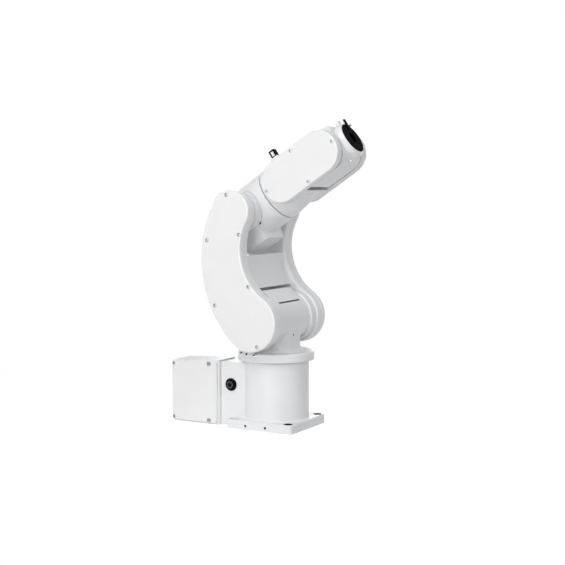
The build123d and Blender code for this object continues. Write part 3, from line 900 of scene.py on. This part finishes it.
@dataclass
class Assembly:
    """What every sub-assembly of the arm has: a body, its nodes and its added pieces."""

    finishes: Finishes
    body: ClassVar[Body]

    def build(self) -> None:
        """Models the added pieces, where the sub-assembly has any."""

    def dress(self) -> None:
        """Puts the finishes on the CAD nodes."""
        raise NotImplementedError

    def dress_nodes(self, finish: Material, *nodes: str) -> None:
        """Puts a finish on CAD nodes of this sub-assembly.

        Args:
            finish: The material.
            *nodes: The names of the nodes.
        """
        for name in nodes:
            for slot in frame["nodes"][name].material_slots:
                slot.material = finish
            log.info("%s: finish %s on %s", self.body.value, finish.name, name)

    def add(self, name: str, model: Piece, seats: Sequence[Seat], finish: Material, slot: Slot) -> None:
        """Copies a model to its seats, and dresses and mounts the joined copies as one piece.

        Args:
            name: The new piece's name.
            model: The model, standing on the origin.
            seats: Where the copies go.
            finish: The piece's material.
            slot: The record's slot that the material belongs to; not used.
        """
        piece = Bench.place_copies(model, name, seats)
        piece.data.materials.clear()
        piece.data.materials.append(finish)
        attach(piece, self.body.value)
        log.info("%s: added %s, %d faces", self.body.value, piece.name, len(piece.data.polygons))

    def add_screws(self, name: str, screw: SocketScrew, seats: Sequence[Seat]) -> None:
        """Adds a group of zinc-plated screws."""
        self.add(name, screw.model(), seats, self.finishes.zinc_steel, Slot.BRIGHT_ALUMINIUM)

    def add_dark_screws(self, name: str, screw: SocketScrew, seats: Sequence[Seat]) -> None:
        """Adds a group of blackened screws."""
        self.add(name, screw.model(), seats, self.finishes.black_plastic, Slot.BLACK_STEEL)

    def add_seals(self, name: str, seal: Ring, seats: Sequence[Seat]) -> None:
        """Adds a group of rubber seals."""
        self.add(name, seal.model(), seats, self.finishes.seal_rubber, Slot.BLACK_PLASTIC)

    def add_inserts(self, name: str, insert: ThreadInsert, seats: Sequence[Seat]) -> None:
        """Adds a group of dark thread inserts, whose near-black finish without reflection also paints the
        shade inside their holes.
        """
        self.add(name, insert.model(), seats, self.finishes.hole_shade_black, Slot.BLACK_STEEL)

    def add_hollow_screws(self, name: str, seats: Sequence[Seat]) -> None:
        """Adds a group of bright screw heads and the near-black sockets inside them, which paint the
        sockets' shade.

        Args:
            name: The start of both pieces' names.
            seats: Where the heads stand.
        """
        heads = HOLLOW_HEAD.model()
        self.add(f"{name}_head", heads, seats, self.finishes.bright_aluminium, Slot.BRIGHT_ALUMINIUM)
        mouths = [Seat(seat.place + seat.outward * HOLLOW_MOUTH, seat.outward) for seat in seats]
        self.add_inserts(f"{name}_socket", HOLLOW_SOCKET_SHADE, mouths)

    def add_cover_screws(self, cover: str, screw: SocketScrew, pocket: float) -> None:
        """Sets screws in the pockets of the near and the far cover.

        Args:
            cover: The covers' name, without its side.
            screw: The screw that fits the pockets.
            pocket: How far the pockets' floors lie under the covers' faces.
        """
        for side, outward in (("near", NEAR), ("far", FAR)):
            node = f"{side}_{cover}"
            face = max(corner.dot(outward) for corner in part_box(node))
            self.add_screws(f"{node}_screws", screw, pocket_seats(node, outward, face - pocket))


@dataclass
class Base(Assembly):
    """The foot plate, column, cable box and connector block."""

    body: ClassVar[Body] = Body.BASE
    plate_top: float = 16.5 * MM
    foot_pitch: float = 112 * MM
    foot_sink: float = 6 * MM
    foot_lift: float = 0.05 * MM
    foot_shade_sleeve: Ring = Ring(radius=8.3 * MM, width=0.6 * MM, height=5.8 * MM, sides=SMALL_RING_SIDES)
    foot_shade_washer: Ring = Ring(radius=7.6 * MM, width=2.8 * MM, height=1.2 * MM, sides=SMALL_RING_SIDES)
    side_insert: ThreadInsert = ThreadInsert(radius=2.1 * MM, bore=1.7 * MM, depth=8 * MM)
    side_hole_height: float = 7.2 * MM
    side_holes_x: tuple[float, float] = (-26 * MM, 15 * MM)
    notch_x: tuple[float, float] = (-110.5 * MM, -189.5 * MM)
    notch_drop: float = 6.5 * MM
    box_top_fall: float = 5.1 * MM
    box_floor_rise: float = 0.5 * MM
    panel_screw_inset: float = 5 * MM
    button_ring: Ring = Ring(radius=6.4 * MM, width=2.0 * MM, height=1.0 * MM, sides=SMALL_RING_SIDES)
    button_ring_sink: float = 0.1 * MM
    socket_floor: float = 3 * MM
    signal_contact: Contact = Contact(radius=0.6 * MM, height=2.2 * MM)
    signal_contact_circle: float = 4.0 * MM
    signal_contacts: int = 8
    power_contact: Contact = Contact(radius=0.9 * MM, height=2.2 * MM)
    power_columns: int = 5
    power_pitch: float = 4.6 * MM
    power_rows: int = 2
    power_row_pitch: float = 9.2 * MM

    def build(self) -> None:
        """Models the foot holes' painted-shade sleeves and washers, the inserts, screws, the round
        control's ring and the contacts.
        """
        self._foot_shade_sleeves()
        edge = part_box("base_casting")[0].y
        places = [Vector((x, edge, self.side_hole_height)) for x in self.side_holes_x]
        self.add_inserts("plate_side_inserts", self.side_insert, [Seat(place, NEAR) for place in places])
        screw = COVER_SCREW.model()
        notches = self._notch_seats()
        self.add("box_cover_screws", screw, notches, self.finishes.dull_zinc, Slot.BRIGHT_ALUMINIUM)
        self.add_screws("rear_panel_screws", SMALL_SCREW, self._panel_seats())
        self._button_ring()
        self._signal_contacts()
        self._power_contacts()

    def dress(self) -> None:
        """Puts the finishes on the CAD nodes."""
        finishes = self.finishes
        self.dress_nodes(finishes.cast_paint, "base_casting", "cable_box", "connector_block")
        self.dress_nodes(finishes.cover_paint, "box_side_cover")
        self.dress_nodes(finishes.bright_aluminium, "rear_panel", "upper_air_port", "lower_air_port")
        self.dress_nodes(finishes.black_plastic, "power_socket", "button_bezel", "button_cap")
        self.dress_nodes(finishes.black_steel, "signal_socket")

    def _foot_shade_sleeves(self) -> None:
        """Lines the two sunk foot holes in front with near-black sleeves and washers, which paint the
        holes' shade.
        """
        half = self.foot_pitch / 2
        floor = self.plate_top - self.foot_sink + self.foot_lift
        seats = [Seat(Vector((half, y, floor)), UP) for y in (-half, half)]
        for name, ring in (("foot_shade_sleeves", self.foot_shade_sleeve), ("foot_shade_washers", self.foot_shade_washer)):
            self.add(name, ring.model(), seats, self.finishes.hole_shade_black, Slot.BLACK_STEEL)

    def _button_ring(self) -> None:
        """Lays a glossy raised ring on the round control's face."""
        low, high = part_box("button_cap")
        middle = (low + high) / 2
        seat = Seat(Vector((middle.x, low.y + self.button_ring_sink, middle.z)), NEAR)
        ring = self.button_ring.model()
        self.add("button_ring", ring, [seat], self.finishes.glossy_black, Slot.BLACK_PLASTIC)

    def _notch_seats(self) -> list[Seat]:
        """Finds the box cover's screw notches from the box's slanting edges.

        Returns:
            A seat in each notch, two at each end of the cover.
        """
        low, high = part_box("cable_box")
        seats = []
        for x in self.notch_x:
            share = (high.x - x) / (high.x - low.x)
            top = high.z - share * self.box_top_fall - self.notch_drop
            floor = low.z + share * self.box_floor_rise + self.notch_drop
            seats += [Seat(Vector((x, low.y, z)), NEAR) for z in (top, floor)]
        return seats

    def _panel_seats(self) -> list[Seat]:
        """Finds the places of the rear panel's screws.

        Returns:
            A seat in each of the panel's four corners.
        """
        low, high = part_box("rear_panel")
        inset = self.panel_screw_inset
        return [
            Seat(Vector((low.x, y, z)), REAR)
            for y in (low.y + inset, high.y - inset)
            for z in (low.z + inset, high.z - inset)
        ]

    def _signal_contacts(self) -> None:
        """Sets a ring of gilt pins in the round socket."""
        low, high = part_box("signal_socket")
        middle = (low + high) / 2
        seats = []
        for index in range(self.signal_contacts):
            angle = tau * index / self.signal_contacts
            y = middle.y + self.signal_contact_circle * cos(angle)
            z = middle.z + self.signal_contact_circle * sin(angle)
            seats.append(Seat(Vector((low.x + self.socket_floor, y, z)), REAR))
        pin = self.signal_contact.model()
        self.add("signal_contacts", pin, seats, self.finishes.gilt_contact, Slot.BRIGHT_ALUMINIUM)

    def _power_contacts(self) -> None:
        """Sets two rows of gilt pins in the rectangular socket."""
        low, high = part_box("power_socket")
        middle = (low + high) / 2
        seats = []
        for row in range(self.power_rows):
            for column in range(self.power_columns):
                y = middle.y + (column - (self.power_columns - 1) / 2) * self.power_pitch
                z = middle.z + (row - (self.power_rows - 1) / 2) * self.power_row_pitch
                seats.append(Seat(Vector((low.x + self.socket_floor, y, z)), REAR))
        pin = self.power_contact.model()
        self.add("power_contacts", pin, seats, self.finishes.gilt_contact, Slot.BRIGHT_ALUMINIUM)


@dataclass
class Turntable(Assembly):
    """The turning flange, pedestal and shoulder barrel."""

    body: ClassVar[Body] = Body.TURNTABLE
    seam: float = 2 * MM
    seal_radius: float = 59.4 * MM
    seal_width: float = 6 * MM
    shoulder_seal: Ring = Ring(radius=45 * MM, width=5 * MM, height=CHEEK_SEAL_HEIGHT)
    pedestal_hole: Triple = (40 * MM, -7.2 * MM, 170.3 * MM)
    rim_radius: float = 69 * MM
    rim_top: float = 138.3 * MM
    rim_sink: float = 1.0 * MM
    rim_bearings: tuple[float, ...] = (-93.4, -111.0, -127.2)
    slit_margin: float = 11 * MM
    shade_strip_inset: float = 4.6 * MM
    shade_strip_lift: float = 0.2 * MM
    shade_strip_depth: float = 2.4 * MM
    shade_strip_height: float = 2.0 * MM
    shade_strip_edge: float = 0.3 * MM

    def build(self) -> None:
        """Models the joints' seals, one of which also paints the seam's shade, the pedestal's insert, the
        rim's screws and the black strips that paint the slits' shade.
        """
        bottom = joint("axis_1_turn")["pos_m"][2]
        # The black seal sits nearly flush in the seam under the flange: a real seal that also paints the
        # seam's shade as a dark line.
        seat = Seat(UP * (bottom - (SEAM_FILL + SEAM_SLACK) * self.seam), UP)
        seal = Ring(self.seal_radius, self.seal_width, SEAM_FILL * self.seam)
        self.add_seals("turntable_seal_seam_shade", seal, [seat])
        shoulder = Vector(joint("axis_2_lower_arm")["pos_m"])
        self.add_seals("shoulder_seals", self.shoulder_seal, cheek_seats(shoulder))
        self.add_inserts("pedestal_insert", SMALL_INSERT, [Seat(Vector(self.pedestal_hole), FRONT)])
        first, *others = self._rim_seats()
        self.add_hollow_screws("rim_front_screw", [first])
        self.add_dark_screws("rim_screws", SMALL_SCREW, others)
        self._slit_shade_strips()

    def dress(self) -> None:
        """Puts the finishes on the CAD nodes."""
        self.dress_nodes(self.finishes.cast_paint, "turntable_casting", "shoulder_lid")

    def _slit_shade_strips(self) -> None:
        """Lays a black rubber strip in each of the lid's two slits, as painted shade in the slits."""
        low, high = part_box("shoulder_lid")
        width = high.y - low.y - 2 * self.slit_margin
        # Painted shade: a black strip that darkens each slit.
        shade_strip = Bench.block("slit_shade_strip", (self.shade_strip_depth, width, self.shade_strip_height))
        Bench.finish(shade_strip, "BEVEL", width=self.shade_strip_edge, segments=2)
        Bench.smooth(shade_strip)
        floor = low.z + self.shade_strip_lift
        slits = (high.x - self.shade_strip_inset, low.x + self.shade_strip_inset)
        seats = [Seat(Vector((x, 0.0, floor)), UP) for x in slits]
        self.add("slit_shade_strips", shade_strip, seats, self.finishes.seal_rubber, Slot.BLACK_PLASTIC)

    def _rim_seats(self) -> list[Seat]:
        """Finds the places of the small screws on the flange's eased rim.

        Returns:
            A seat at each bearing, which leans out at 45 degrees.
        """
        seats = []
        for bearing in self.rim_bearings:
            around = Vector((cos(radians(bearing)), sin(radians(bearing)), 0.0))
            outward = (around + UP).normalized()
            rim = around * self.rim_radius + UP * self.rim_top
            seats.append(Seat(rim - outward * self.rim_sink, outward))
        return seats


@dataclass
class LowerArm(Assembly):
    """The kidney-shaped casting and its two thick covers."""

    body: ClassVar[Body] = Body.LOWER_ARM
    pocket: float = 3 * MM

    def build(self) -> None:
        """Models the screws in the covers' pockets."""
        self.add_cover_screws("arm_cover", COVER_SCREW, self.pocket)

    def dress(self) -> None:
        """Puts the finishes on the CAD nodes."""
        self.dress_nodes(self.finishes.cast_paint, "lower_arm_casting")
        self.dress_nodes(self.finishes.cover_paint, "near_arm_cover", "far_arm_cover")


@dataclass
class Elbow(Assembly):
    """The round collar with its chin, on the elbow axis."""

    body: ClassVar[Body] = Body.ELBOW
    drum_radius: float = 36.5 * MM
    hole_bearing: float = -70.0
    hole_sides: tuple[float, float] = (-40 * MM, 40 * MM)
    front_screw: Triple = (-11.6 * MM, -38.3 * MM, 372.5 * MM)
    front_screw_outward: Triple = (0.13, -0.98, 0.17)
    seal: Ring = Ring(radius=31 * MM, width=4 * MM, height=CHEEK_SEAL_HEIGHT)

    def build(self) -> None:
        """Models the drum's thread inserts, the front screw and the joint's seals."""
        bearing = radians(self.hole_bearing)
        outward = REACH * cos(bearing) + LIFT * sin(bearing)
        places = [ELBOW_AXIS + outward * self.drum_radius + FAR * side for side in self.hole_sides]
        self.add_inserts("elbow_inserts", SMALL_INSERT, [Seat(place, outward) for place in places])
        screw_seat = sunk_seat(self.front_screw, self.front_screw_outward)
        self.add_hollow_screws("elbow_front_screw", [screw_seat])
        self.add_seals("elbow_seals", self.seal, cheek_seats(ELBOW_AXIS))

    def dress(self) -> None:
        """Puts the finishes on the CAD nodes."""
        self.dress_nodes(self.finishes.cast_paint, "elbow_housing")


@dataclass
class Forearm(Assembly):
    """The rolling drum with its fork, covers and small connector."""

    body: ClassVar[Body] = Body.FOREARM
    pocket: float = 2.5 * MM
    collar_end: float = 51.5 * MM
    seam: float = 1.5 * MM
    seal_radius: float = 47.5 * MM
    seal_width: float = 6 * MM

    def build(self) -> None:
        """Models the roll joint's seal and the screws in the covers' pockets."""
        start = self.collar_end + (1.0 - SEAM_FILL - SEAM_SLACK) * self.seam
        seat = Seat(ELBOW_AXIS + REACH * start, REACH)
        seal = Ring(self.seal_radius, self.seal_width, SEAM_FILL * self.seam).model()
        self.add("forearm_seal", seal, [seat], self.finishes.grey_rubber, Slot.BLACK_PLASTIC)
        self.add_cover_screws("forearm_cover", SMALL_SCREW, self.pocket)

    def dress(self) -> None:
        """Puts the finishes on the CAD nodes."""
        self.dress_nodes(self.finishes.cast_paint, "forearm_casting")
        self.dress_nodes(self.finishes.cover_paint, "near_forearm_cover", "far_forearm_cover")
        self.dress_nodes(self.finishes.black_plastic, "forearm_plug")
        self.dress_nodes(self.finishes.pale_plastic, "plug_insert")


@dataclass
class Wrist(Assembly):
    """The tilting block between the fork's arms, with its nose ring."""

    body: ClassVar[Body] = Body.WRIST
    low_screw: Triple = (152.8 * MM, -6.7 * MM, 482.9 * MM)
    low_screw_outward: Triple = (0.54, -0.19, -0.82)

    def build(self) -> None:
        """Models the small screw under the wrist's round front."""
        seat = sunk_seat(self.low_screw, self.low_screw_outward)
        screw = COVER_SCREW.model()
        self.add("wrist_low_screw", screw, [seat], self.finishes.bright_aluminium, Slot.BRIGHT_ALUMINIUM)

    def dress(self) -> None:
        """Puts the finishes on the CAD nodes."""
        self.dress_nodes(self.finishes.cast_paint, "wrist_housing")
        self.dress_nodes(self.finishes.cover_paint, "nose_ring")


@dataclass
class ToolMount(Assembly):
    """The dark tool flange with its stop and guide pin, to which nothing is added."""

    body: ClassVar[Body] = Body.TOOL_MOUNT

    def dress(self) -> None:
        """Puts the finishes on the CAD nodes."""
        self.dress_nodes(self.finishes.black_steel, "tool_flange")
        self.dress_nodes(self.finishes.zinc_steel, "guide_pin")
        self.dress_nodes(self.finishes.black_plastic, "flange_stop")


@dataclass(frozen=True)
class Lamp:
    """A soft square studio lamp that points at the arm."""

    name: str
    place: Triple
    size: float
    power: float

    def hang(self, target: Vector) -> None:
        """Hangs the lamp and points it.

        Args:
            target: The point that it lights.
        """
        data = bpy.data.lights.new(self.name, "AREA")
        data.shape = "SQUARE"
        data.size = self.size
        data.energy = self.power
        lamp = bpy.data.objects.new(self.name, data)
        lamp.location = self.place
        lamp.rotation_euler = (target - lamp.location).to_track_quat("-Z", "Y").to_euler()
        bpy.context.scene.collection.objects.link(lamp)


@dataclass
class Studio:
    """The pale floor, soft light and the camera at the photograph's viewpoint."""

    camera_place: Triple = (1.0777, -1.8965, 0.4381)
    camera_heading: float = 29.306
    camera_pitch: float = 4.584
    focal_pixels: float = 1200.0
    image_pixels: float = 565.0
    sensor: float = 36.0
    clip_end: float = 100.0
    ambient: float = 0.28
    ambient_tint: Colour = (0.985, 0.985, 1.0)
    floor_size: float = 12.0
    floor_colour: Colour = (0.75, 0.75, 0.75)
    floor_glow: float = 0.7
    fade_start: float = 0.3
    fade_end: float = 0.9
    target: Triple = (0.0, 0.0, 0.28)
    lamps: tuple[Lamp, ...] = (
        Lamp("key_softbox", place=(0.1, -4.8, 0.5), size=2.6, power=104.0),
        Lamp("high_softbox", place=(0.0, -3.3, 3.4), size=2.2, power=80.0),
        Lamp("side_softbox", place=(3.4, -0.6, 2.0), size=1.6, power=24.0),
        Lamp("back_softbox", place=(-1.6, 4.6, 0.5), size=2.6, power=56.0),
    )

    def build(self) -> None:
        """Sets up the whole studio."""
        self._view()
        self._camera()
        self._world()
        self._floor()
        for lamp in self.lamps:
            lamp.hang(Vector(self.target))
            log.info("studio: %s hung", lamp.name)

    @staticmethod
    def _view() -> None:
        """Shows colours as they are written."""
        bpy.context.scene.view_settings.view_transform = "Standard"

    def _camera(self) -> None:
        """Stands the camera where the photograph was taken from."""
        heading = radians(self.camera_heading)
        pitch = radians(self.camera_pitch)
        forward = Vector((-sin(heading) * cos(pitch), cos(heading) * cos(pitch), -sin(pitch)))
        data = bpy.data.cameras.new("photo_camera")
        data.sensor_width = self.sensor
        data.lens = self.sensor * self.focal_pixels / self.image_pixels
        data.clip_end = self.clip_end
        camera = bpy.data.objects.new("photo_camera", data)
        camera.location = self.camera_place
        camera.rotation_euler = forward.to_track_quat("-Z", "Y").to_euler()
        bpy.context.scene.collection.objects.link(camera)
        bpy.context.scene.camera = camera

    def _world(self) -> None:
        """Lights the arm evenly from a world that shows as white."""
        world = bpy.data.worlds.new("studio_white")
        world.use_nodes = True
        tree = ShaderTree(world.node_tree)
        dim = {"Color": (*self.ambient_tint, 1.0), "Strength": self.ambient}
        light = tree.node("ShaderNodeBackground", {}, dim)
        white = tree.node("ShaderNodeBackground", {}, {"Color": WHITE})
        both = tree.node("ShaderNodeMixShader", {}, {0: tree.seen(), 1: light, 2: white})
        tree.node("ShaderNodeOutputWorld", {}, {"Surface": both})
        bpy.context.scene.world = world

    def _floor(self) -> None:
        """Lays a pale floor that throws light back up and fades into the white."""
        Bench.clear()
        bpy.ops.mesh.primitive_plane_add(size=self.floor_size)
        floor = bpy.context.object
        floor.name = "studio_floor"
        tree = FinishTree("floor_pale")
        seen = tree.seen()
        distance = tree.vector("LENGTH", tree.place())
        matt = tree.node("ShaderNodeBsdfDiffuse", {}, {"Color": (*self.floor_colour, 1.0)})
        glow = tree.node("ShaderNodeEmission", {}, {"Strength": self.floor_glow * seen})
        lit = tree.node("ShaderNodeAddShader", {}, {0: matt, 1: glow})
        white = tree.node("ShaderNodeEmission", {}, {"Strength": 1.0})
        fade = distance.ramp(self.fade_start, self.fade_end) * seen
        faded = tree.node("ShaderNodeMixShader", {}, {0: fade, 1: lit, 2: white})
        tree.node("ShaderNodeOutputMaterial", {}, {"Surface": faded})
        floor.data.materials.append(tree.material)


def main() -> None:
    """Builds and dresses the arm from the floor up, then sets up the studio."""
    logging.basicConfig(level=logging.INFO, format="%(name)s: %(message)s")
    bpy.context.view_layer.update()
    finishes = Finishes()
    for kind in (Base, Turntable, LowerArm, Elbow, Forearm, Wrist, ToolMount):
        assembly = kind(finishes)
        assembly.build()
        assembly.dress()
    Studio().build()


if __name__ == "__main__":
    main()
